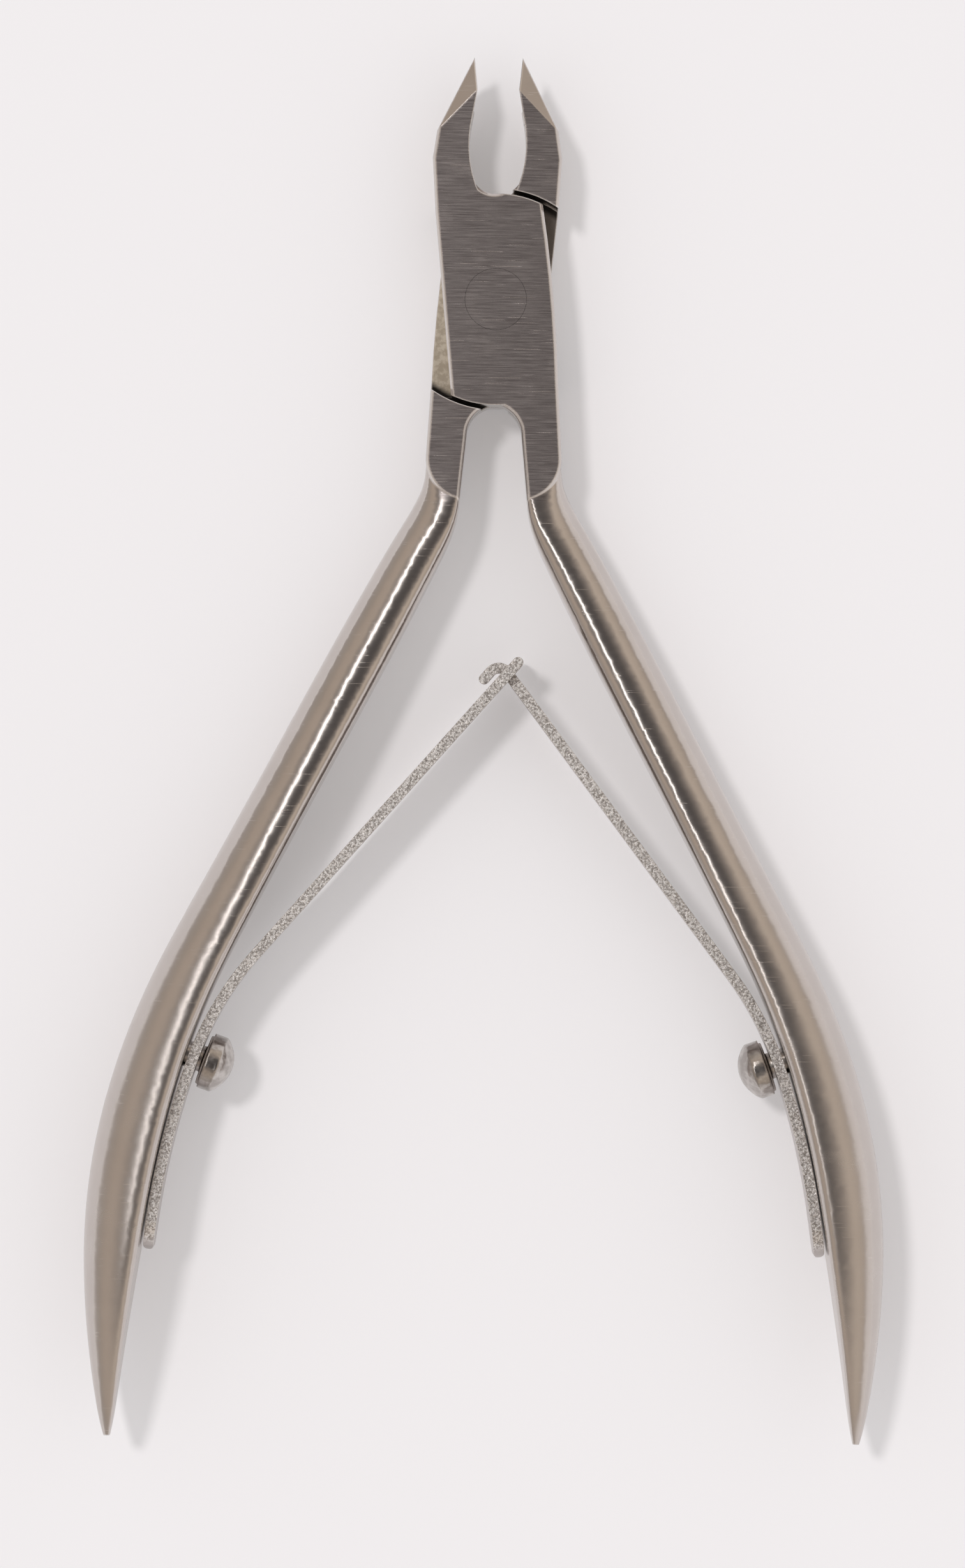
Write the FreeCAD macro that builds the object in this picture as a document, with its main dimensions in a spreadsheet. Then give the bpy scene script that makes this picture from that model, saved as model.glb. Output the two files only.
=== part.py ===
import FreeCAD
import Part
import math
import os
import Sketcher

# Cuticle nipper: two crossing forged halves on a lap joint, a flush pivot pin, and two leaf
# springs that hook together at the apex, each held to its handle by a dome-headed screw.
# Frame: Z is the pivot axis, +Y points to the jaw tips, and z = 0 is the flat back face.
# Each half is drawn closed, with its jaw at -X and its handle at +X, then turned open.

V = FreeCAD.Vector
Z_AXIS = V(0, 0, 1)

DIMENSIONS = {
    # head, flat ground on both faces
    "thickness": 6.0,
    "lap_gap": 0.04,
    "rest_opening": 11.2,
    "edge_break": 0.2,
    "plate_radius": 7.95,
    "shoulder_radius": 8.3,
    "spine_x": 3.95,
    "belly_x": 4.12,
    "belly_radius": 110.0,
    # jaw
    "bite_gap": 0.02,
    "tip_y": 18.3,
    "heel_y": 15.8,
    "tip_height": 5.1,
    "ridge_x": 3.3,
    "ridge_y": 13.0,
    "cheek_x": 3.8,
    "cheek_y": 11.0,
    "throat_x": 0.78,
    "throat_top_y": 13.05,
    "throat_bottom_y": 8.8,
    "throat_radius": 9.2,
    "throat_corner_x": 0.85,
    "throat_corner_radius": 1.7,
    "taper_start_y": 11.2,
    "taper_radius": 12.0,
    "tip_thickness": 0.35,
    "relief_angle": 28.0,
    "relief_radius": 6.0,
    "relief_back": 5.5,
    "relief_length": 12.0,
    # neck
    "neck_inner_x": 1.07,
    "neck_outer_x": 3.92,
    "neck_corner_x": 0.45,
    "neck_corner_y": 10.4,
    "neck_corner_radius": 2.3,
    "neck_shoulder_y": 12.1,
    "neck_end_y": 15.3,
    "neck_end_radius": 3.2,
    # handle: centreline of straight runs and tangent arcs
    "handle_start_y": 12.3,
    "elbow_y": 16.1,
    "elbow_radius": 10.0,
    "handle_slope": 22.4,
    "run_end_y": 50.4,
    "grip_radius": 57.0,
    "tail_radius": 110.0,
    "tail_end_y": 88.3,
    "handle_rows": 32,
    "row_growth": 1.6,
    "neck_lag": 2.6,
    "ridge_bevel": 0.15,
    # springs and screws
    "leaf_thickness": 0.8,
    "leaf_width": 4.8,
    "leaf_gap": 0.25,
    "leaf_tail": 14.6,
    "leaf_tail_radius": 62.0,
    "leaf_bend_radius": 24.0,
    "apex_x": 1.3,
    "apex_y": 28.05,
    "tongue_width": 1.6,
    "tongue_length": 0.95,
    "hook_radius": 0.8,
    "hook_offset": 1.08,
    "hook_end": 0.75,
    "fork_slot": 1.75,
    "fork_depth": 0.8,
    "fork_reach": 1.1,
    "screw_y": 58.35,
    "screw_radius": 1.0,
    "screw_depth": 3.0,
    "screw_hole_radius": 1.25,
    "head_radius": 2.15,
    "head_height": 2.3,
    "collar_radius": 1.9,
    "collar_height": 0.2,
    "screw_stand": 1.38,
    "head_rim": 1.0,
    "dome_radius": 2.65,
    "slot_width": 0.5,
    "slot_depth": 0.6,
    # pivot pin
    "pin_radius": 2.3,
    "pin_clearance": 0.02,
}

# Handle sections, from the neck to the tail tip: distance along the centreline, width across,
# height along Z, size of the two inner corners, and squareness (1 is a box, 0 a crowned D).
SECTION_PARTS = ("along", "width", "height", "corner", "square")
SECTIONS = {
    "neck": (0.0, 2.7, 5.8, 0.25, 1.0),
    "root": (1.8, 2.7, 5.8, 0.3, 1.0),
    "elbow": (4.4, 3.5, 6.02, 0.9, 0.1),
    "shank": (7.6, 3.95, 6.5, 1.3, 0.0),
    "upper": (16.6, 4.3, 7.4, 1.4, 0.0),
    "middle": (28.6, 4.3, 8.6, 1.2, 0.0),
    "swell": (40.6, 4.45, 9.7, 1.0, 0.0),
    "grip": (49.6, 4.75, 10.3, 0.9, 0.0),
    "palm": (56.6, 4.85, 10.2, 0.9, 0.0),
    "heel": (63.6, 4.45, 9.3, 0.85, 0.0),
    "narrow": (69.6, 3.4, 7.6, 0.7, 0.0),
    "tail": (75.1, 2.0, 4.9, 0.5, 0.0),
    "end": (78.0, 1.15, 2.8, 0.3, 0.0),
    "point": (79.3, 0.5, 1.1, 0.12, 0.0),
}
# Upper half of a section's outer side, as shares of its reach and half height.
BOX_CROWN = ((0.5, 1.0), (1.0, 1.0), (1.0, 0.5), (1.0, 0.0))
OVAL_CROWN = ((0.45, 0.95), (0.84, 0.76), (1.0, 0.42), (1.0, 0.0))

for section, values in SECTIONS.items():
    for section_part, value in zip(SECTION_PARTS, values):
        DIMENSIONS[f"{section}_{section_part}"] = value

doc = FreeCAD.newDocument("cuticle_nipper")
sheet = doc.addObject("Spreadsheet::Sheet", "Dims")
for row, (alias, value) in enumerate(DIMENSIONS.items(), start=1):
    sheet.set(f"A{row}", alias)
    sheet.set(f"B{row}", str(value))
    sheet.setAlias(f"B{row}", alias)
doc.recompute()


def size(alias):
    """The value that the sheet holds for one dimension."""
    return float(sheet.get(alias))


def number(expression):
    """A formula on the sheet's dimensions, as a plain number."""
    result = sheet.evalExpression(expression)
    return float(getattr(result, "Value", result))


def bind(sketch, constraint, expression):
    """Add one dimension to a sketch and tie it to the sheet."""
    index = sketch.addConstraint(constraint)
    sketch.setExpression(f"Constraints[{index}]", expression)


def bound_outline(sketch, corners, radii):
    """Close an outline through corners given as formulas; radii bends the side after a corner."""
    points = [V(number(x), number(y), 0) for x, y in corners]
    sides = []
    for i, start in enumerate(points):
        end = points[(i + 1) % len(points)]
        if i in radii:
            expression, turn = radii[i]
            radius = number(expression)
            chord = end - start
            lift = math.sqrt(radius**2 - (chord.Length / 2) ** 2)
            centre = (start + end) / 2 + V(-chord.y, chord.x, 0).normalize() * lift * turn
            angles = [math.atan2(p.y - centre.y, p.x - centre.x) for p in (start, end)]
            if turn < 0:
                angles.reverse()
            circle = Part.Circle(centre, Z_AXIS, radius)
            geometry = sketch.addGeometry(Part.ArcOfCircle(circle, *angles))
            bind(sketch, Sketcher.Constraint("Radius", geometry, radius), expression)
            sides.append((geometry, 1, 2) if turn > 0 else (geometry, 2, 1))
        else:
            sides.append((sketch.addGeometry(Part.LineSegment(start, end)), 1, 2))
    for i, (geometry, first, last) in enumerate(sides):
        following, next_first, next_last = sides[(i + 1) % len(sides)]
        sketch.addConstraint(Sketcher.Constraint("Coincident", geometry, last, following, next_first))
    for (x, y), point, (geometry, first, last) in zip(corners, points, sides):
        bind(sketch, Sketcher.Constraint("DistanceX", -1, 1, geometry, first, point.x), x)
        bind(sketch, Sketcher.Constraint("DistanceY", -1, 1, geometry, first, point.y), y)


class Path:
    """A flat line of straight runs and tangent arcs, each run given as (length, curvature)."""

    def __init__(self, start, heading, runs):
        self.start = start
        self.heading = heading
        self.runs = runs

    def length(self):
        return sum(length for length, curvature in self.runs)

    def stops(self):
        """Distances at which one run ends and the next begins."""
        marks = [0.0]
        for length, curvature in self.runs:
            marks.append(marks[-1] + length)
        return marks

    def at(self, distance):
        """The point and the heading (radians from +X) at a distance along the line."""
        point, heading = self.start, self.heading
        for length, curvature in self.runs:
            step = max(0.0, min(distance, length))
            turn = step * curvature
            chord = step if abs(turn) < 1e-9 else 2 * math.sin(turn / 2) / curvature
            middle = heading + turn / 2
            point = point + V(math.cos(middle), math.sin(middle), 0) * chord
            heading += turn
            distance -= step
        return point, heading

    def beside(self, distance, offset):
        """The point at a distance along the line and an offset to its left."""
        point, heading = self.at(distance)
        return point + V(-math.sin(heading), math.cos(heading), 0) * offset


def strip_face(path, thickness):
    """The flat outline of a strip bent along a path, with round ends."""
    edges = []
    half = thickness / 2
    stops = path.stops()
    for first, last in zip(stops, stops[1:]):
        for offset in (half, -half):
            a, b, c = (path.beside(s, offset) for s in (first, (first + last) / 2, last))
            straight = abs((b - a).cross(c - a).z) < 1e-9
            edges.append(Part.LineSegment(a, c).toShape() if straight else Part.Arc(a, b, c).toShape())
    for distance, outward in ((0.0, -1), (path.length(), 1)):
        point, heading = path.at(distance)
        cap = point + V(math.cos(heading), math.sin(heading), 0) * half * outward
        edges.append(Part.Arc(path.beside(distance, half), cap, path.beside(distance, -half)).toShape())
    return Part.Face(Part.Wire(Part.__sortEdges__(edges)))


# ---------------------------------------------------------------- document helpers

def feature(name, shape):
    item = doc.addObject("Part::Feature", name)
    item.Shape = shape
    return item


def primitive(kind, name, placement=None, **sizes):
    """A Part primitive whose sizes are formulas on the sheet."""
    item = doc.addObject(f"Part::{kind}", name)
    for prop, expression in sizes.items():
        item.setExpression(prop, expression)
    if placement:
        item.Placement = placement
    return item


def cut(name, base, *tools):
    item = doc.addObject("Part::Cut", name)
    item.Base = base
    item.Tool = tools[0] if len(tools) == 1 else fuse(f"{name}_tools", *tools)
    return item


def fuse(name, *shapes):
    item = doc.addObject("Part::MultiFuse", name)
    item.Shapes = list(shapes)
    return item


def mirror(name, source):
    item = doc.addObject("Part::Mirroring", name)
    item.Source = source
    item.Normal = V(1, 0, 0)
    return item


def sketch_on(body, role, name):
    """A sketch on one of the body's own origin planes."""
    sketch = body.newObject("Sketcher::SketchObject", name)
    plane = next(item for item in body.Origin.OriginFeatures if item.Role == role)
    sketch.AttachmentSupport = [(plane, "")]
    sketch.MapMode = "FlatFace"
    return sketch


def frame_at(origin, z_direction, x_direction):
    """A placement whose Z and X axes point along the two directions."""
    z = V(z_direction).normalize()
    x = V(x_direction).normalize()
    y = z.cross(x)
    turn = FreeCAD.Rotation(x, y, z, "ZXY")
    return FreeCAD.Placement(origin, turn)


# ---------------------------------------------------------------- head, one half, closed

def on_circle(radius, across):
    """The distance along Y at which a circle about the pivot stands at one X."""
    return f"sqrt(Dims.{radius}^2 - Dims.{across}^2)"


def make_head():
    """Jaw, lap plate and neck of one half, full thickness, with the jaw's underside tapered."""
    body = doc.addObject("PartDesign::Body", "Head")
    outline = sketch_on(body, "XY_Plane", "HeadOutline")
    corners = [
        ("-Dims.bite_gap", "Dims.tip_y"),
        ("-Dims.ridge_x", "Dims.ridge_y"),
        ("-Dims.cheek_x", "Dims.cheek_y"),
        ("-Dims.spine_x", on_circle("plate_radius", "spine_x")),
        ("-Dims.spine_x", "-" + on_circle("plate_radius", "spine_x")),
        ("-Dims.neck_corner_x", "-" + on_circle("plate_radius", "neck_corner_x")),
        ("Dims.neck_inner_x", "-Dims.neck_corner_y"),
        ("Dims.neck_inner_x", "-Dims.neck_end_y"),
        ("Dims.neck_outer_x", "-Dims.neck_shoulder_y"),
        ("Dims.belly_x", "-" + on_circle("plate_radius", "belly_x")),
        ("Dims.belly_x", on_circle("plate_radius", "belly_x")),
        ("Dims.throat_corner_x", on_circle("plate_radius", "throat_corner_x")),
        ("-Dims.throat_x", "Dims.throat_bottom_y"),
        ("-Dims.throat_x", "Dims.throat_top_y"),
        ("-Dims.bite_gap", "Dims.heel_y"),
    ]
    radii = {
        4: ("Dims.plate_radius", 1),
        5: ("Dims.neck_corner_radius", -1),
        7: ("Dims.neck_end_radius", 1),
        9: ("Dims.belly_radius", 1),
        10: ("Dims.plate_radius", 1),
        11: ("Dims.throat_corner_radius", -1),
        12: ("Dims.throat_radius", -1),
    }
    bound_outline(outline, corners, radii)
    pad = body.newObject("PartDesign::Pad", "HeadPad")
    pad.Profile = outline
    pad.setExpression("Length", "Dims.thickness")
    doc.recompute()

    taper = sketch_on(body, "YZ_Plane", "JawTaper")
    taper_corners = [
        ("Dims.taper_start_y", "0"),
        ("Dims.tip_y", "Dims.tip_height - Dims.tip_thickness"),
        ("Dims.tip_y + 1", "Dims.tip_height - Dims.tip_thickness"),
        ("Dims.tip_y + 1", "-1"),
        ("Dims.taper_start_y", "-1"),
    ]
    bound_outline(taper, taper_corners, {0: ("Dims.taper_radius", 1)})
    pocket = body.newObject("PartDesign::Pocket", "JawTaperCut")
    pocket.Profile = taper
    pocket.Type = "ThroughAll"
    pocket.Midplane = True
    doc.recompute()
    if pocket.Shape.Volume >= pad.Shape.Volume - 1:
        raise ValueError("the jaw taper removed nothing")

    broken = [
        f"Edge{i}"
        for i, edge in enumerate(pocket.Shape.Edges, start=1)
        if is_broken_edge(edge)
    ]
    chamfer = body.newObject("PartDesign::Chamfer", "EdgeBreak")
    chamfer.Base = (pocket, broken)
    chamfer.setExpression("Size", "Dims.edge_break")
    doc.recompute()
    return body


def is_broken_edge(edge):
    """True for the flat faces' outer edges; the bite and the throat, lap and neck arcs stay sharp."""
    box = edge.BoundBox
    middle = edge.valueAt((edge.FirstParameter + edge.LastParameter) / 2)
    flat = box.ZLength < 1e-6 and min(abs(box.ZMin), abs(box.ZMax - size("thickness"))) < 1e-6
    at_bite = middle.y > size("ridge_y") or (middle.y > size("cheek_y") and middle.x > -size("ridge_x"))
    sharp_arcs = (size("plate_radius"), size("throat_radius"), size("neck_end_radius"))
    sharp = any(abs(getattr(edge.Curve, "Radius", 0) - radius) < 1e-6 for radius in sharp_arcs)
    return flat and not (at_bite or sharp)


def jaw_cutters():
    """The ground top facet behind the tip, and the hollow under the cutting edge."""
    tip = V(-size("bite_gap"), size("tip_y"), size("tip_height"))
    heel = V(-size("bite_gap"), size("heel_y"), size("thickness"))
    ridge = V(-size("ridge_x"), size("ridge_y"), size("thickness"))
    normal = (ridge - heel).cross(heel - tip).normalize()
    if normal.z < 0:
        normal = -normal
    reach = size("thickness") * 3
    facet_frame = frame_at(heel, normal, ridge - heel)
    corner = facet_frame.multVec(V(-reach / 2, -reach / 2, 0))
    facet_place = FreeCAD.Placement(corner, facet_frame.Rotation)
    facet = primitive("Box", "FacetCutter", facet_place,
                      Length="Dims.thickness * 3", Width="Dims.thickness * 3", Height="Dims.thickness")

    edge = (tip - heel).normalize()
    down = edge.cross(V(1, 0, 0))
    down = down if down.z < 0 else -down
    lean = math.radians(size("relief_angle"))
    axis = heel + (V(1, 0, 0) * math.cos(lean) + down * math.sin(lean)) * size("relief_radius")
    hollow_place = frame_at(axis - edge * size("relief_back"), edge, V(1, 0, 0))
    hollow = primitive("Cylinder", "HollowCutter", hollow_place,
                       Radius="Dims.relief_radius", Height="Dims.relief_length")
    return facet, hollow


# ---------------------------------------------------------------- handle, one half, closed

def handle_path():
    """Centreline of the handle, from inside the neck to the tail."""
    slope = math.radians(size("handle_slope"))
    elbow, grip, tail = size("elbow_radius"), size("grip_radius"), size("tail_radius")
    tangent = elbow * math.tan(slope / 2)
    start_y = size("handle_start_y")
    elbow_end_y = size("elbow_y") + tangent * math.cos(slope)
    grip_end_y = size("run_end_y") + grip * math.sin(slope)
    tail_turn = math.asin((size("tail_end_y") - grip_end_y) / tail)
    runs = [
        (size("elbow_y") - tangent - start_y, 0.0),
        (elbow * slope, 1 / elbow),
        ((size("run_end_y") - elbow_end_y) / math.cos(slope), 0.0),
        (grip * slope, -1 / grip),
        (tail * tail_turn, -1 / tail),
    ]
    middle_x = (size("neck_inner_x") + size("neck_outer_x")) / 2
    return Path(V(middle_x, -start_y, 0), math.radians(-90), runs)


def section_at(distance):
    """Width, height, corner and squareness of the handle, eased between its named sections."""
    rows = [[size(f"{name}_{part}") for part in SECTION_PARTS] for name in SECTIONS]
    last = len(rows) - 1
    i = next((k for k in range(last) if distance <= rows[k + 1][0]), last - 1)
    before, start, end, after = (rows[k] for k in (max(i - 1, 0), i, i + 1, min(i + 2, last)))
    span = end[0] - start[0]
    t = (distance - start[0]) / span
    values = []
    for k in range(1, len(SECTION_PARTS)):
        slope_in = (end[k] - before[k]) / (end[0] - before[0])
        slope_out = (after[k] - start[k]) / (after[0] - start[0])
        values.append(
            start[k] * (1 + 2 * t) * (1 - t) ** 2
            + end[k] * t * t * (3 - 2 * t)
            + slope_in * span * t * (1 - t) ** 2
            - slope_out * span * t * t * (1 - t)
        )
    return values


def squareness(distance, share):
    """How boxy the handle is; its outer side (share 1) rounds off before its inner side (share 0)."""
    lagged = distance + size("neck_lag") * (share - 0.5)
    return max(0.0, min(1.0, section_at(max(0.0, lagged))[3]))


def section_ring(distance):
    """Control points round one section: a flat inner side, two bevelled ridges and a crowned outside."""
    width, height, corner, _ = section_at(distance)
    inner, top = -width / 2, height / 2
    reach = width - corner
    flat = [(inner, (top - corner) * share) for share in (-1, -0.5, 0, 0.5, 1)]
    bevel = size("ridge_bevel") * corner * (1 - squareness(distance, 0))
    ridge = [(inner + bevel, top - bevel), (inner + corner, top)]
    crown = []
    for box, oval in zip(BOX_CROWN, OVAL_CROWN):
        square = squareness(distance, oval[0])
        across, up = (square * a + (1 - square) * b for a, b in zip(box, oval))
        crown.append((inner + corner + reach * across, top * up))
    lower = [(u, -v) for u, v in reversed(crown[:-1])]
    return flat + ridge + crown + lower + [(u, -v) for u, v in reversed(ridge)]


def make_handle():
    """A smooth skin over a net of control points, closed by a flat face at each end."""
    path = handle_path()
    length = size("point_along")
    rows = int(size("handle_rows"))
    distances = [length * (i / rows) ** size("row_growth") for i in range(rows + 1)]
    distances[-1:-1] = [distances[-1] - (distances[-1] - distances[-2]) / 3]
    net = []
    for distance in distances:
        point, heading = path.at(distance)
        outward = V(-math.sin(heading), math.cos(heading), 0)
        middle = point + Z_AXIS * size("thickness") / 2
        net.append([middle + outward * u + Z_AXIS * v for u, v in section_ring(distance)])
    spans = len(net) - 3
    skin = Part.BSplineSurface()
    skin.buildFromPolesMultsKnots(
        net, [4] + [1] * (spans - 1) + [4], [1] * (len(net[0]) + 1),
        list(range(spans + 1)), list(range(len(net[0]) + 1)), False, True, 3, 3)
    side = skin.toShape()
    caps = [Part.Face(Part.Wire(skin.uIso(u).toShape())) for u in (0, spans)]
    shell = Part.Shell(Part.makeShell([side] + caps).Faces)
    shell.sewShape()
    solid = Part.Solid(shell)
    if solid.Volume < 0:
        solid.reverse()
    return feature("Handle", solid)


# ---------------------------------------------------------------- springs and screws

def seat():
    """The screw's seat on the handle's flat inner face: its point, the inward and upward directions."""
    path = handle_path()
    low, high = 0.0, path.length()
    for _ in range(60):
        middle = (low + high) / 2
        if path.at(middle)[0].y > -size("screw_y"):
            low = middle
        else:
            high = middle
    point, heading = path.at(low)
    outward = V(-math.sin(heading), math.cos(heading), 0)
    width = section_at(low)[0]
    upward = V(-math.cos(heading), -math.sin(heading), 0)
    return point - outward * width / 2 + Z_AXIS * size("thickness") / 2, -outward, upward


def apex(side):
    """Where the leaves cross, in the frame of a closed half; side is -1 for the mirrored half."""
    turn = FreeCAD.Rotation(Z_AXIS, -size("rest_opening") / 2)
    return turn.multVec(V(side * size("apex_x"), -size("apex_y"), 0))


def leaf_line(side):
    """Heading at the apex and centreline runs of one leaf, closed: tail, bend at the screw, straight."""
    point, inward, upward = seat()
    middle = point + inward * (size("leaf_gap") + size("leaf_thickness") / 2)
    middle.z = 0
    heading = math.atan2(upward.y, upward.x)
    tail, tail_radius, bend = size("leaf_tail"), size("leaf_tail_radius"), size("leaf_bend_radius")
    start = Path(middle, heading + math.pi, [(tail, -1 / tail_radius)]).at(tail)[0]
    reach = apex(side) - (middle + inward * bend)
    apex_heading = math.atan2(reach.y, reach.x) + math.asin(bend / reach.Length)
    runs = [
        (tail, 1 / tail_radius),
        (bend * (apex_heading - heading), 1 / bend),
        (math.sqrt(reach.Length**2 - bend**2), 0.0),
    ]
    return start, heading - tail / tail_radius, runs, apex_heading


def leaf(name, side, end_runs, end_cutters):
    """One leaf spring: a bent strip, its tail rounded, a hole for the screw, and its end cut to fit."""
    start, heading, runs, apex_heading = leaf_line(side)
    line = Path(start, heading, runs + end_runs)
    face = feature(f"{name}_outline", strip_face(line, size("leaf_thickness")))
    strip = doc.addObject("Part::Extrusion", f"{name}_strip")
    strip.Base = face
    strip.Dir = Z_AXIS
    strip.setExpression("LengthFwd", "Dims.leaf_width")
    strip.Placement.Base.z = (size("thickness") - size("leaf_width")) / 2
    middle_z = Z_AXIS * size("thickness") / 2
    ahead = V(math.cos(heading), math.sin(heading), 0)
    across = V(-ahead.y, ahead.x, 0)
    radius = size("leaf_width") / 2
    end = start - ahead * size("leaf_thickness") / 2 + middle_z - across * radius
    square_place = frame_at(end - ahead * radius + Z_AXIS * size("leaf_width"), across, ahead)
    square = primitive("Box", f"{name}_tail_square", square_place,
                       Length="Dims.leaf_width", Width="Dims.leaf_width * 2", Height="Dims.leaf_width")
    disc = primitive("Cylinder", f"{name}_tail_disc", frame_at(end + ahead * radius, across, ahead),
                     Radius="Dims.leaf_width / 2", Height="Dims.leaf_width")
    point, inward, upward = seat()
    hole = primitive("Cylinder", f"{name}_hole", frame_at(point, inward, upward),
                     Radius="Dims.screw_hole_radius", Height="Dims.screw_stand")
    corner = cut(f"{name}_tail_corners", square, disc)
    return cut(name, strip, corner, hole, *end_cutters(name, apex(side) + middle_z, apex_heading))


def tongue_cutters(name, crossing, heading):
    """Two blocks that leave a narrow tongue on the middle of the strip."""
    ahead = V(math.cos(heading), math.sin(heading), 0)
    across = V(-ahead.y, ahead.x, 0)
    start = crossing - ahead * size("tongue_length") - across * size("leaf_width") / 2
    above = start + Z_AXIS * size("tongue_width") / 2
    below = start - Z_AXIS * (size("tongue_width") / 2 + size("leaf_width"))
    return [
        primitive("Box", f"{name}_{where}", frame_at(place, Z_AXIS, ahead),
                  Length="Dims.leaf_width", Width="Dims.leaf_width", Height="Dims.leaf_width")
        for where, place in (("above", above), ("below", below))
    ]


def fork_cutters(name, crossing, heading):
    """A block that opens the strip's end into two prongs."""
    ahead = V(math.cos(heading), math.sin(heading), 0)
    across = V(-ahead.y, ahead.x, 0)
    floor = crossing - ahead * size("fork_depth") - across * size("leaf_thickness")
    start = floor - Z_AXIS * size("fork_slot") / 2
    return [primitive("Box", f"{name}_slot", frame_at(start, Z_AXIS, ahead),
                      Length="Dims.leaf_width", Width="Dims.leaf_thickness * 2", Height="Dims.fork_slot")]


def make_leaves():
    """The hooked leaf of the right handle, and the forked leaf of the left handle, still unmirrored."""
    hooked_heading = leaf_line(1)[3]
    forked_heading = leaf_line(-1)[3]
    opening = math.radians(size("rest_opening"))
    wrap = 2 * math.pi - hooked_heading - forked_heading - opening
    radius = size("hook_radius")
    lead = size("hook_offset") / math.sin(wrap) - radius * math.tan(wrap / 2)
    hook = [(lead, 0.0), (radius * wrap, 1 / radius), (size("hook_end"), 0.0)]
    hooked = leaf("HookedLeaf", 1, hook, tongue_cutters)
    forked = leaf("ForkedLeaf", -1, [(size("fork_reach"), 0.0)], fork_cutters)
    return hooked, forked


def make_screw(name):
    """Dome-headed screw with a slot, its axis along Z and z = 0 at the handle's face."""
    body = doc.addObject("PartDesign::Body", name)
    profile = sketch_on(body, "XZ_Plane", f"{name}_profile")
    top = "Dims.screw_stand + Dims.head_height"
    under_rim = "Dims.screw_stand + Dims.collar_height"
    corners = [
        ("0", "-Dims.screw_depth"),
        ("Dims.screw_radius", "-Dims.screw_depth"),
        ("Dims.screw_radius", "Dims.screw_stand"),
        ("Dims.collar_radius", "Dims.screw_stand"),
        ("Dims.collar_radius", under_rim),
        ("Dims.head_radius", under_rim),
        ("Dims.head_radius", f"{under_rim} + Dims.head_rim"),
        ("0", top),
    ]
    bound_outline(profile, corners, {6: ("Dims.dome_radius", 1)})
    turned = body.newObject("PartDesign::Revolution", f"{name}_turned")
    turned.Profile = profile
    turned.ReferenceAxis = (profile, ["V_Axis"])
    turned.Angle = 360
    doc.recompute()
    slot = sketch_on(body, "YZ_Plane", f"{name}_slot")
    half = "Dims.slot_width / 2"
    slot_corners = [
        (f"-{half}", f"{top} - Dims.slot_depth"),
        (half, f"{top} - Dims.slot_depth"),
        (half, f"{top} + 1"),
        (f"-{half}", f"{top} + 1"),
    ]
    bound_outline(slot, slot_corners, {})
    pocket = body.newObject("PartDesign::Pocket", f"{name}_slot_cut")
    pocket.Profile = slot
    pocket.Type = "ThroughAll"
    pocket.Midplane = True
    doc.recompute()
    if pocket.Shape.Volume >= turned.Shape.Volume - 0.1:
        raise ValueError("the screw's slot removed nothing")
    return body


# ---------------------------------------------------------------- the seven pieces

def make_half(name, blank, recess_z, recess_height, bore_radius, screw_hole):
    """One half: the blank with the lap recess on one face, the pivot bore and the screw's hole."""
    recess = primitive("Cylinder", f"{name}_recess", FreeCAD.Placement(Z_AXIS * recess_z, FreeCAD.Rotation()),
                       Radius="Dims.shoulder_radius", Height=recess_height)
    bore = primitive("Cylinder", f"{name}_bore", FreeCAD.Placement(-Z_AXIS, FreeCAD.Rotation()),
                     Radius=bore_radius, Height="Dims.thickness + 2")
    return cut(name, blank, recess, bore, screw_hole)


head = make_head()
facet, hollow = jaw_cutters()
doc.recompute()
handle = make_handle()
blank = cut("Blank", fuse("Forging", head, handle), facet, hollow)
mirrored_blank = mirror("MirroredBlank", blank)

seat_point, seat_inward, seat_upward = seat()
hole_place = frame_at(seat_point + seat_inward, -seat_inward, seat_upward)
right_hole = primitive("Cylinder", "RightHole", hole_place,
                       Radius="Dims.screw_radius", Height="Dims.screw_depth + 1")
left_hole = mirror("LeftHole", right_hole)

half_recess = "(Dims.thickness + Dims.lap_gap) / 2 + 1"
front = make_half("Front", blank, -1, half_recess, "Dims.pin_radius + Dims.pin_clearance", right_hole)
back = make_half("Back", mirrored_blank, (size("thickness") - size("lap_gap")) / 2, half_recess,
                 "Dims.pin_radius", left_hole)
pin = primitive("Cylinder", "Pin", Radius="Dims.pin_radius", Height="Dims.thickness")
hooked, forked = make_leaves()
screw_place = frame_at(seat_point, seat_inward, seat_upward)
right_screw = make_screw("RightScrew")
left_screw = make_screw("LeftScrew")
mirrored_screw_place = frame_at(V(-seat_point.x, seat_point.y, seat_point.z),
                                V(-seat_inward.x, seat_inward.y, 0), V(-seat_upward.x, seat_upward.y, 0))

open_front = FreeCAD.Placement(V(), FreeCAD.Rotation(Z_AXIS, size("rest_opening") / 2))
open_back = FreeCAD.Placement(V(), FreeCAD.Rotation(Z_AXIS, -size("rest_opening") / 2))
PIECES = {
    "front_half": (front, open_front),
    "back_half": (back, open_back),
    "pivot_pin": (pin, FreeCAD.Placement()),
    "right_leaf_spring": (hooked, open_front),
    "left_leaf_spring": (mirror("MirroredForkedLeaf", forked), open_back),
    "right_spring_screw": (right_screw, open_front * screw_place),
    "left_spring_screw": (left_screw, open_back * mirrored_screw_place),
}
for label, (piece, placement) in PIECES.items():
    piece.Label = label
    piece.Placement = placement
doc.recompute()

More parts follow.
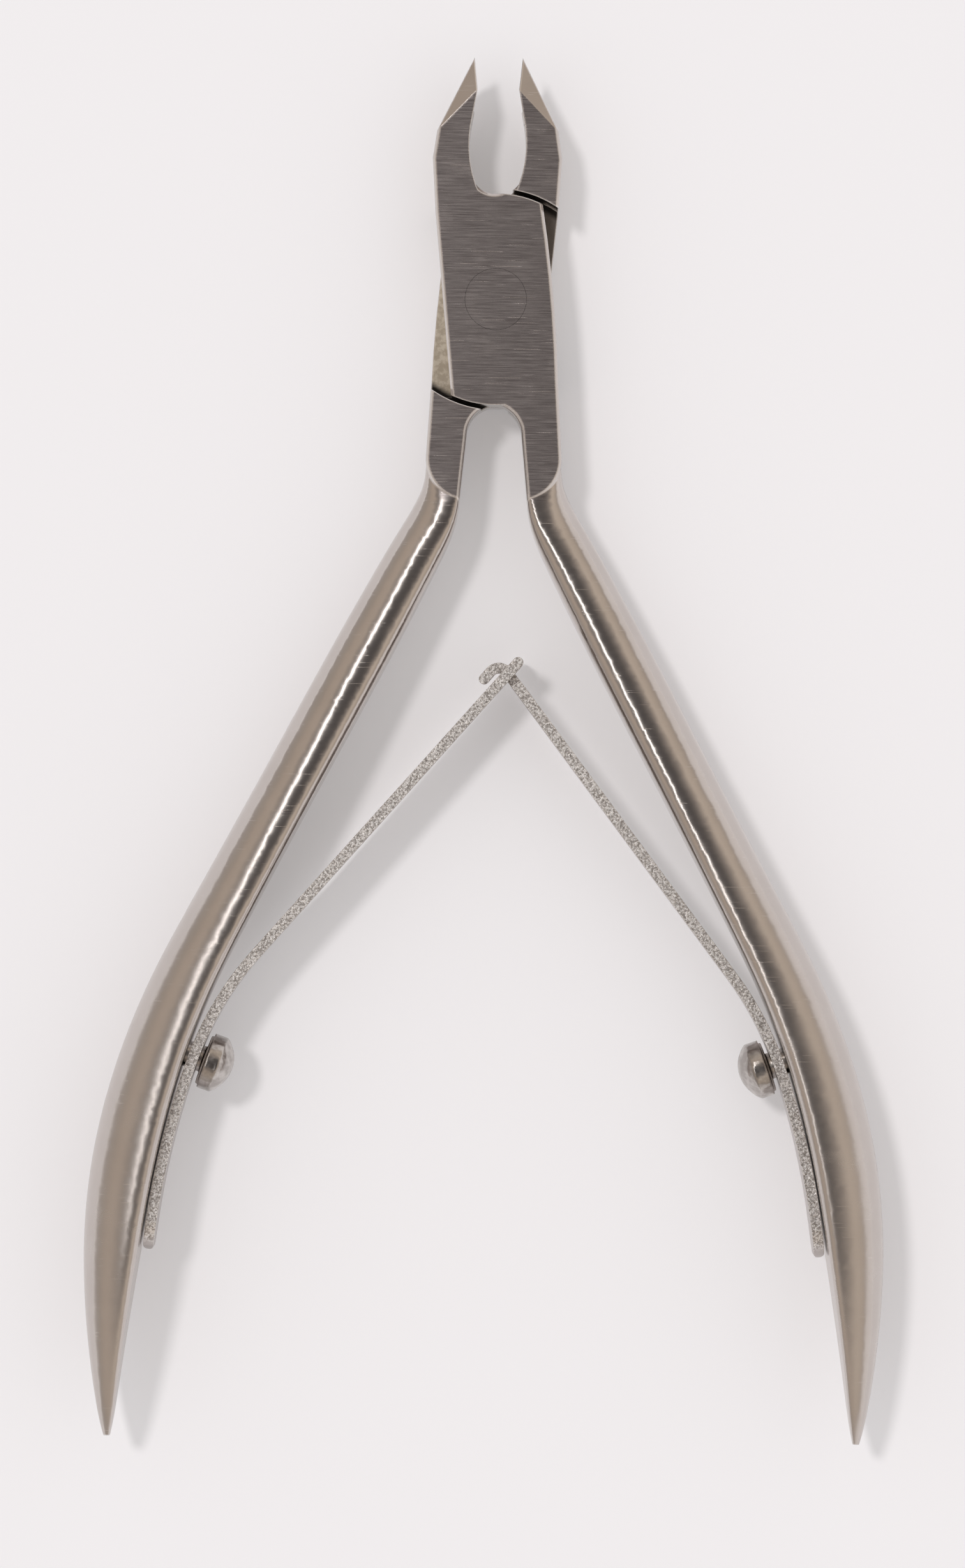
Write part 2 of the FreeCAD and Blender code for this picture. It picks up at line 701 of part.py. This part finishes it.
for item in doc.Objects:
    if "Invalid" in item.State or "Error" in item.State:
        raise ValueError(f"{item.Label} did not recompute: {item.State}")
os.makedirs("parts", exist_ok=True)
for label, (piece, placement) in PIECES.items():
    shape = piece.Shape
    if shape.isNull() or not shape.isValid() or len(shape.Solids) != 1:
        raise ValueError(f"{label} is not one valid solid")
    shape.Solids[0].exportStep(f"parts/{label}.step")
    box = shape.BoundBox
    print(f"{label}: {shape.Volume:.1f} mm3, x {box.XMin:.2f} to {box.XMax:.2f}, "
          f"y {box.YMin:.2f} to {box.YMax:.2f}, z {box.ZMin:.2f} to {box.ZMax:.2f}")
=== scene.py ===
import math

import bpy
from mathutils import Matrix, Vector


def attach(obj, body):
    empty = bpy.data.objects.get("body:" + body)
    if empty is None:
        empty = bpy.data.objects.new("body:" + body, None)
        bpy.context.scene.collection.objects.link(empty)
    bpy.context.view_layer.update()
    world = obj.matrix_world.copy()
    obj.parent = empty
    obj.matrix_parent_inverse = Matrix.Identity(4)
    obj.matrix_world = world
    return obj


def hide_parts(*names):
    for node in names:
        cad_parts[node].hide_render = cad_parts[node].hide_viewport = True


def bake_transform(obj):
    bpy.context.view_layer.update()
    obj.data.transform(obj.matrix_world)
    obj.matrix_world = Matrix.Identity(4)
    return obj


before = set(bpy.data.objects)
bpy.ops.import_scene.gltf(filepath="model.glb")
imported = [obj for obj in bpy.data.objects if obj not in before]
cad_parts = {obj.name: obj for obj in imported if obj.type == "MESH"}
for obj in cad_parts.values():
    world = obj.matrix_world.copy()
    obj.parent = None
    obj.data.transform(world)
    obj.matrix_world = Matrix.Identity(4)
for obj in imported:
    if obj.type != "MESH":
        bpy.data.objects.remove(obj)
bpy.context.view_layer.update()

MM = 0.001

# ---------------------------------------------------------------- places on the part, in mm

# Heights (Z), distances along the tool (Y), then radii about the pivot axis.
LAP_HEIGHT = 3.0
NECK_END, NECK_FULL = -15.6, -14.6
GRIP_START, GRIP_FULL = -30.0, -62.0
SHOULDER_START, SHOULDER_END = 7.5, 8.0
PIN_SEAM = 3.0

SCREW_VOXEL = 0.06
SCREW_WEAR_PASSES = 5
LEAF_EDGE_RADIUS = 0.20

# Each leaf's handle and own body, and where its bend starts and ends.
LEAVES = {
    "left_leaf_spring": ("back_arm", "left_leaf", (-21.3, -55.2, 3.0), (-17.0, -46.0, 3.0)),
    "right_leaf_spring": ("front_arm", "right_leaf", (21.3, -55.2, 3.0), (17.0, -46.0, 3.0)),
}

# ---------------------------------------------------------------- camera, floor and light

CAMERA_CENTRE = Vector((-0.53, -36.4, 4.5)) * MM
CAMERA_DISTANCE = 0.5
CAMERA_ROLL = math.radians(0.73)
CAMERA_LENS = 152.5

# The nipper lies on its grips and on the end of its flat back face, so the paper is tilted to them.
FLOOR_TILT = math.radians(1.70)
FLOOR_TOUCH = Vector((0, 11, -0.02)) * MM
FLOOR_REACH = 4.0
FLOOR_COLOUR = (0.80, 0.765, 0.772)
FLOOR_GLOW = 0.19

KEY_AZIMUTH = math.radians(143)
KEY_TILT = math.radians(23)
KEY_STRENGTH = 0.85
KEY_ANGLE = math.radians(7.5)
FILL_COLOUR = (0.62, 0.62, 0.62)

# A tall softbox on the left that the steel mirrors as one thin bright line along each handle.
STRIP_PLACE = Vector((-0.135, 0.09, 0.59))
STRIP_WIDTH = 0.028
STRIP_LENGTH = 0.56
STRIP_ENERGY = 0.32
STRIP_COLOUR = (1.0, 0.98, 0.97)

# What the steel mirrors, by the cosine of the angle from straight up, on the left and on the right:
# dark overhead, warm tent walls halfway up, and white cards low down, the right one taller.
SKY = (
    (0.00, (1.40, 1.38, 1.38), (1.00, 0.97, 0.97)),
    (0.10, (0.48, 0.44, 0.42), (0.92, 0.88, 0.87)),
    (0.42, (0.48, 0.43, 0.38), (0.88, 0.84, 0.82)),
    (0.50, (0.49, 0.43, 0.38), (0.47, 0.41, 0.36)),
    (0.64, (0.56, 0.48, 0.41), (0.62, 0.54, 0.46)),
    (0.82, (0.58, 0.50, 0.43), (0.72, 0.63, 0.54)),
    (0.93, (0.24, 0.215, 0.20), (0.28, 0.25, 0.23)),
    (0.975, (0.12, 0.11, 0.105), (0.13, 0.12, 0.115)),
    (1.00, (0.10, 0.092, 0.092), (0.10, 0.092, 0.092)),
)
SKY_LEFT_END, SKY_RIGHT_START = -0.2, 0.4

# Cosines between a face and its rounded normal where an edge starts to look worn and to take its painted
# highlight, and fully does.
WEAR_START, WEAR_FULL = 0.990, 0.93


def link(item):
    bpy.context.scene.collection.objects.link(item)
    return item


def make_camera():
    data = bpy.data.cameras.new("camera")
    data.lens = CAMERA_LENS
    data.clip_start = 0.01
    camera = link(bpy.data.objects.new("camera", data))
    camera.location = CAMERA_CENTRE + Vector((0, 0, CAMERA_DISTANCE))
    camera.rotation_euler = (0, 0, CAMERA_ROLL)
    bpy.context.scene.camera = camera


def make_lights():
    """A sun lights the paper and a softbox lights the steel, so neither spoils the other."""
    sun = bpy.data.lights.new("key", "SUN")
    sun.energy = KEY_STRENGTH
    sun.angle = KEY_ANGLE
    key = link(bpy.data.objects.new("key", sun))
    key.rotation_euler = (KEY_TILT, 0, KEY_AZIMUTH + math.pi / 2)
    key.visible_glossy = False

    box = bpy.data.lights.new("strip", "AREA")
    box.shape = "RECTANGLE"
    box.size = STRIP_WIDTH
    box.size_y = STRIP_LENGTH
    box.energy = STRIP_ENERGY
    box.color = STRIP_COLOUR
    strip = link(bpy.data.objects.new("strip", box))
    ahead = STRIP_PLACE.normalized()
    side = Vector((0, 1, 0)).cross(ahead).normalized()
    turn = Matrix((side, ahead.cross(side), ahead)).transposed()
    middle = Vector((CAMERA_CENTRE.x, CAMERA_CENTRE.y, 0))
    strip.matrix_world = Matrix.Translation(middle + STRIP_PLACE) @ turn.to_4x4()
    strip.visible_diffuse = False


def make_world():
    """A studio tent: the steel mirrors the sky table, and the paper is lit evenly."""
    world = bpy.data.worlds.new("studio")
    bpy.context.scene.world = world
    world.use_nodes = True
    nodes, links = world.node_tree.nodes, world.node_tree.links
    direction = nodes.new("ShaderNodeTexCoord")
    parts = nodes.new("ShaderNodeSeparateXYZ")
    links.new(direction.outputs["Generated"], parts.inputs[0])
    walls = []
    for side in (1, 2):
        ramp = nodes.new("ShaderNodeValToRGB")
        stops = ramp.color_ramp.elements
        while len(stops) < len(SKY):
            stops.new(0.5)
        for stop, row in zip(stops, SKY):
            stop.position = row[0]
            stop.color = (*row[side], 1)
        links.new(parts.outputs["Z"], ramp.inputs["Fac"])
        walls.append(ramp.outputs["Color"])
    across = nodes.new("ShaderNodeMapRange")
    across.interpolation_type = "SMOOTHSTEP"
    across.inputs["From Min"].default_value = SKY_LEFT_END
    across.inputs["From Max"].default_value = SKY_RIGHT_START
    links.new(parts.outputs["X"], across.inputs["Value"])
    ray = nodes.new("ShaderNodeLightPath")
    tent = mix_colours(nodes, links, across.outputs[0], *walls)
    light = mix_colours(nodes, links, ray.outputs["Is Diffuse Ray"], tent, (*FILL_COLOUR, 1))
    links.new(light, nodes["Background"].inputs["Color"])


def mix_colours(nodes, links, share, first, second):
    mix = nodes.new("ShaderNodeMix")
    mix.data_type = "RGBA"
    for socket, value in ((0, share), (6, first), (7, second)):
        if isinstance(value, bpy.types.NodeSocket):
            links.new(value, mix.inputs[socket])
        else:
            mix.inputs[socket].default_value = value
    return mix.outputs[2]


def make_floor():
    mesh = bpy.data.meshes.new("floor")
    slope = math.tan(FLOOR_TILT)
    corners = [
        (x, y, FLOOR_TOUCH.z + (y - FLOOR_TOUCH.y) * slope)
        for x, y in ((-FLOOR_REACH, -FLOOR_REACH), (FLOOR_REACH, -FLOOR_REACH),
                     (FLOOR_REACH, FLOOR_REACH), (-FLOOR_REACH, FLOOR_REACH))
    ]
    mesh.from_pydata(corners, [], [(0, 1, 2, 3)])
    material = bpy.data.materials.new("floor_paper")
    material.use_nodes = True
    shader = material.node_tree.nodes["Principled BSDF"]
    shader.inputs["Base Color"].default_value = (*FLOOR_COLOUR, 1)
    shader.inputs["Roughness"].default_value = 0.9
    shader.inputs["Specular IOR Level"].default_value = 0.1
    shader.inputs["Emission Color"].default_value = (1, 1, 1, 1)
    shader.inputs["Emission Strength"].default_value = FLOOR_GLOW
    mesh.materials.append(material)
    link(bpy.data.objects.new("floor", mesh))


# ---------------------------------------------------------------- shader nodes

class Material:
    """A metal material whose nodes are added by short calls. Its coordinates are in millimetres."""

    def __init__(self, name):
        self.material = bpy.data.materials.new(name)
        self.material.use_nodes = True
        self.tree = self.material.node_tree
        self.shader = self.tree.nodes["Principled BSDF"]
        self.shader.inputs["Metallic"].default_value = 1.0
        place = self.node("TexCoord").outputs["Object"]
        self.place = self.node("VectorMath", {0: place, "Scale": 1 / MM}, operation="SCALE").outputs[0]
        self.facing = self.node("NewGeometry").outputs["Normal"]

    def node(self, kind, inputs=None, **settings):
        made = self.tree.nodes.new(f"ShaderNode{kind}")
        for name, value in settings.items():
            setattr(made, name, value)
        for socket, value in (inputs or {}).items():
            self.feed(made.inputs[socket], value)
        return made

    def feed(self, socket, value):
        if isinstance(value, bpy.types.NodeSocket):
            self.tree.links.new(value, socket)
        else:
            socket.default_value = value

    def calc(self, operation, *values):
        return self.node("Math", dict(enumerate(values)), operation=operation).outputs[0]

    def part(self, vector, axis):
        return self.node("SeparateXYZ", {0: vector}).outputs[axis]

    def from_pivot(self):
        """Distance from the pivot axis."""
        level = self.node("VectorMath", {0: self.place, 1: (1, 1, 0)}, operation="MULTIPLY").outputs[0]
        return self.node("VectorMath", {0: level}, operation="LENGTH").outputs["Value"]

    def spread(self, value, start, end, low=0.0, high=1.0):
        """Value mapped smoothly from start..end to low..high."""
        inputs = {"Value": value, "From Min": start, "From Max": end, "To Min": low, "To Max": high}
        return self.node("MapRange", inputs, interpolation_type="SMOOTHSTEP").outputs[0]

    def noise(self, stretch, detail=2.0, roughness=0.5, turn=0.0):
        """Noise with so many features per millimetre along X, Y and Z, turned about Z."""
        inputs = {"Vector": self.place, "Rotation": (0, 0, turn), "Scale": stretch}
        vector = self.node("Mapping", inputs).outputs[0]
        inputs = {"Vector": vector, "Scale": 1.0, "Detail": detail, "Roughness": roughness}
        return self.node("TexNoise", inputs).outputs[0]

    def blend(self, share, first, second):
        """A number between first and second."""
        return self.node("Mix", {0: share, 2: first, 3: second}, data_type="FLOAT").outputs[0]

    def tint(self, share, first, second):
        """A colour between first and second."""
        return self.node("Mix", {0: share, 6: first, 7: second}, data_type="RGBA").outputs[2]

    def edges(self, radius, flush_radius=0.0):
        """The normal with sharp edges rounded, and a mask that is 1 on those edges.

        Edges within flush_radius of the pivot axis are ground flush, so they stay as they are.
        """
        rounded = self.node("Bevel", {"Radius": radius * MM}, samples=6).outputs[0]
        outside = self.calc("GREATER_THAN", self.from_pivot(), flush_radius)
        rounded = self.node("Mix", {0: outside, 4: self.facing, 5: rounded}, data_type="VECTOR").outputs[1]
        likeness = self.node("VectorMath", {0: rounded, 1: self.facing}, operation="DOT_PRODUCT")
        return rounded, self.spread(likeness.outputs["Value"], WEAR_START, WEAR_FULL)

    def scratches(self, turn):
        """Sparse thin lines in one direction: 1 on a scratch and 0 elsewhere."""
        lines = self.noise((0.22, 16.0, 2.0), 0.0, turn=turn)
        return self.spread(lines, 0.80, 0.84)

    def bumps(self, normal, *layers):
        """Bump layers, each a height and its depth in millimetres, over a normal."""
        for height, depth in layers:
            depth = self.calc("MULTIPLY", depth, MM)
            inputs = {"Height": height, "Strength": 1.0, "Distance": depth, "Normal": normal}
            normal = self.node("Bump", inputs).outputs[0]
        return normal

    def finish(self, colour, roughness, normal):
        self.feed(self.shader.inputs["Base Color"], colour)
        self.feed(self.shader.inputs["Roughness"], roughness)
        self.feed(self.shader.inputs["Normal"], normal)
        return self.material


def colour(red, green, blue):
    return (red, green, blue, 1.0)


def make_forged_steel():
    """Forged and ground steel: brushed flats, satin handles, and a duller machined lap."""
    steel = Material("nipper_forging")
    upright = steel.calc("ABSOLUTE", steel.part(steel.facing, "Z"))
    along = steel.part(steel.place, "Y")
    head = steel.spread(along, NECK_END, NECK_FULL)
    flat = steel.calc("MULTIPLY", steel.spread(upright, 0.975, 0.998), head)
    height = steel.part(steel.place, "Z")
    off_lap = steel.calc("ABSOLUTE", steel.calc("SUBTRACT", height, LAP_HEIGHT))
    lap = steel.calc("MULTIPLY", steel.spread(off_lap, 0.2, 0.1), head)

    brush = steel.noise((0.3, 11.0, 11.0), 3.0, 0.65)
    brush_fine = steel.noise((0.9, 30.0, 30.0), 2.0, 0.6)
    satin = steel.noise((1.6, 7.0, 3.0), 3.0, 0.6)
    grit = steel.noise((14.0, 14.0, 14.0), 2.0, 0.6)
    cloud = steel.noise((0.35, 0.35, 0.35), 3.0, 0.55)
    mottle = steel.noise((1.8, 1.8, 1.8), 4.0, 0.7)
    marks = steel.calc("MAXIMUM", steel.scratches(0.35), steel.scratches(-0.9))
    rounded, edge_wear_and_sheen = steel.edges(0.18, PIN_SEAM)

    # Colours: satin body, brushed flats, and a mottled lap with painted shade: pale on the left,
    # dark on the right where the recessed lap lies in shadow, and nearly black along its shoulders.
    body = steel.tint(cloud, colour(0.55, 0.505, 0.475), colour(0.62, 0.575, 0.545))
    streaks = steel.spread(brush, 0.3, 0.7)
    ground = steel.tint(streaks, colour(0.32, 0.285, 0.28), colour(0.60, 0.55, 0.54))
    # Painted shadow: the lap darkens towards +X, where the recessed lap lies in shade.
    shade = steel.spread(steel.part(steel.place, "X"), -3.0, 3.0)
    cast = steel.tint(steel.spread(mottle, 0.4, 0.62), colour(0.66, 0.60, 0.50), colour(0.86, 0.81, 0.71))
    lap_stain_and_shade = steel.tint(shade, cast, colour(0.20, 0.18, 0.165))
    # Painted shade: the lap goes nearly black along its shoulders, where the deep gap lies in shadow.
    painted_gap_shade = steel.spread(steel.from_pivot(), SHOULDER_START, SHOULDER_END)
    lap_stain_and_shade = steel.tint(painted_gap_shade, lap_stain_and_shade, colour(0.03, 0.027, 0.025))
    tone = steel.tint(flat, body, ground)
    tone = steel.tint(lap, tone, lap_stain_and_shade)
    tone = steel.tint(steel.calc("MULTIPLY", marks, 0.35), tone, colour(0.72, 0.68, 0.65))
    # Worn edges are lightened towards white: partly wear, partly painted highlight.
    tone = steel.tint(steel.calc("MULTIPLY", edge_wear_and_sheen, 0.8), tone, colour(0.93, 0.91, 0.90))

    # Roughness: the handles are shinier by the neck, and worn edges are shiniest.
    grip = steel.spread(along, GRIP_START, GRIP_FULL)
    smooth = steel.calc("ADD", steel.blend(satin, 0.12, 0.19), steel.blend(grip, 0.0, 0.10))
    brushed = steel.blend(brush_fine, 0.20, 0.31)
    dull = steel.blend(flat, smooth, brushed)
    dull = steel.blend(lap, dull, 0.55)
    dull = steel.calc("ADD", dull, steel.spread(cloud, 0.55, 0.75, 0.0, 0.03))
    dull = steel.blend(steel.calc("MULTIPLY", edge_wear_and_sheen, 0.8), dull, 0.15)

    relief = steel.blend(flat, satin, brush)
    normal = steel.bumps(
        rounded,
        (relief, steel.blend(flat, 0.0012, 0.0035)),
        (steel.blend(flat, grit, brush_fine), steel.blend(flat, 0.0006, 0.0012)),
        (steel.calc("MULTIPLY", mottle, lap), 0.02),
        (steel.calc("MULTIPLY", marks, -1.0), 0.002),
    )
    return steel.finish(tone, dull, normal)


def make_spring_steel():
    """Tumbled spring strip: rough, sparkling sheared edges and softly brushed faces."""
    steel = Material("nipper_spring")
    upright = steel.calc("ABSOLUTE", steel.part(steel.facing, "Z"))
    sheared = steel.spread(upright, 0.6, 0.9)
    speckle = steel.noise((6.0, 6.0, 3.0), 3.0, 0.75)
    coarse = steel.noise((2.4, 2.4, 1.6), 2.0, 0.6)
    grain = steel.noise((1.2, 1.2, 14.0), 3.0, 0.6)
    rounded, edge_wear_and_sheen = steel.edges(0.08)

    face = steel.tint(grain, colour(0.42, 0.385, 0.365), colour(0.56, 0.52, 0.50))
    edge = steel.tint(steel.spread(speckle, 0.42, 0.56), colour(0.42, 0.39, 0.37), colour(0.97, 0.945, 0.93))
    tone = steel.tint(sheared, face, edge)
    # Worn edges are lightened: partly wear, partly painted highlight.
    tone = steel.tint(steel.calc("MULTIPLY", edge_wear_and_sheen, 0.5), tone, colour(0.80, 0.77, 0.74))

    rough = steel.blend(speckle, 0.18, 0.34)
    smooth = steel.blend(grain, 0.24, 0.36)
    dull = steel.blend(sheared, smooth, rough)
    # The sheared edges are rough enough to scatter some light as well as mirror it.
    steel.feed(steel.shader.inputs["Metallic"], steel.blend(sheared, 1.0, 0.82))
    normal = steel.bumps(
        rounded,
        (steel.calc("MULTIPLY", speckle, sheared), 0.035),
        (steel.calc("MULTIPLY", coarse, sheared), 0.07),
        (grain, 0.002),
    )
    return steel.finish(tone, dull, normal)


def make_screw_steel():
    """Polished screw, slightly uneven, with handling marks and worn edges painted lighter, partly as a
    painted highlight.
    """
    steel = Material("nipper_screw")
    smudge = steel.noise((1.1, 1.1, 1.1), 3.0, 0.6)
    ripple = steel.noise((0.7, 0.7, 0.7), 2.0, 0.5)
    grit = steel.noise((12.0, 12.0, 12.0), 2.0, 0.6)
    rounded, edge_wear_and_sheen = steel.edges(0.16)
    tone = steel.tint(steel.spread(smudge, 0.35, 0.7), colour(0.40, 0.37, 0.35), colour(0.60, 0.57, 0.545))
    # Worn edges are lightened: partly wear, partly painted highlight.
    tone = steel.tint(steel.calc("MULTIPLY", edge_wear_and_sheen, 0.3), tone, colour(0.80, 0.77, 0.75))
    dull = steel.blend(smudge, 0.10, 0.26)
    normal = steel.bumps(rounded, (ripple, 0.10), (grit, 0.0015))
    return steel.finish(tone, dull, normal)


# ---------------------------------------------------------------- screws and leaves

def make_screw(node, body, material):
    """A copy of the CAD screw whose machined edges are worn round and slightly uneven."""
    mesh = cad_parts[node].data.copy()
    mesh.materials.clear()
    mesh.materials.append(material)
    piece = link(bpy.data.objects.new(f"{node}_worn", mesh))
    remesh = piece.modifiers.new("even_faces", "REMESH")
    remesh.mode = "VOXEL"
    remesh.voxel_size = SCREW_VOXEL * MM
    remesh.use_smooth_shade = True
    wear = piece.modifiers.new("wear", "SMOOTH")
    wear.factor = 0.5
    wear.iterations = SCREW_WEAR_PASSES
    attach(piece, body)
    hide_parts(node)


def make_leaf(node, material):
    """A copy of the CAD leaf with softened edges, put in place of the CAD leaf."""
    name = node.replace("_spring", "_strip")
    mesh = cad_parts[node].data.copy()
    mesh.materials.clear()
    mesh.materials.append(material)
    piece = link(bpy.data.objects.new(name, mesh))
    soften = piece.modifiers.new("soften", "BEVEL")
    soften.width = LEAF_EDGE_RADIUS * MM
    soften.segments = 3
    soften.angle_limit = math.radians(50)
    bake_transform(piece)
    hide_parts(node)


# ---------------------------------------------------------------- the scene

make_camera()
make_world()
make_lights()
make_floor()
bpy.context.scene.view_settings.view_transform = "Standard"

forged = make_forged_steel()
spring = make_spring_steel()
screw = make_screw_steel()
for node in ("front_half", "back_half", "pivot_pin"):
    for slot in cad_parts[node].material_slots:
        slot.material = forged
make_screw("left_spring_screw", "back_arm", screw)
make_screw("right_spring_screw", "front_arm", screw)
for node, (arm, body, start, end) in LEAVES.items():
    make_leaf(node, spring)
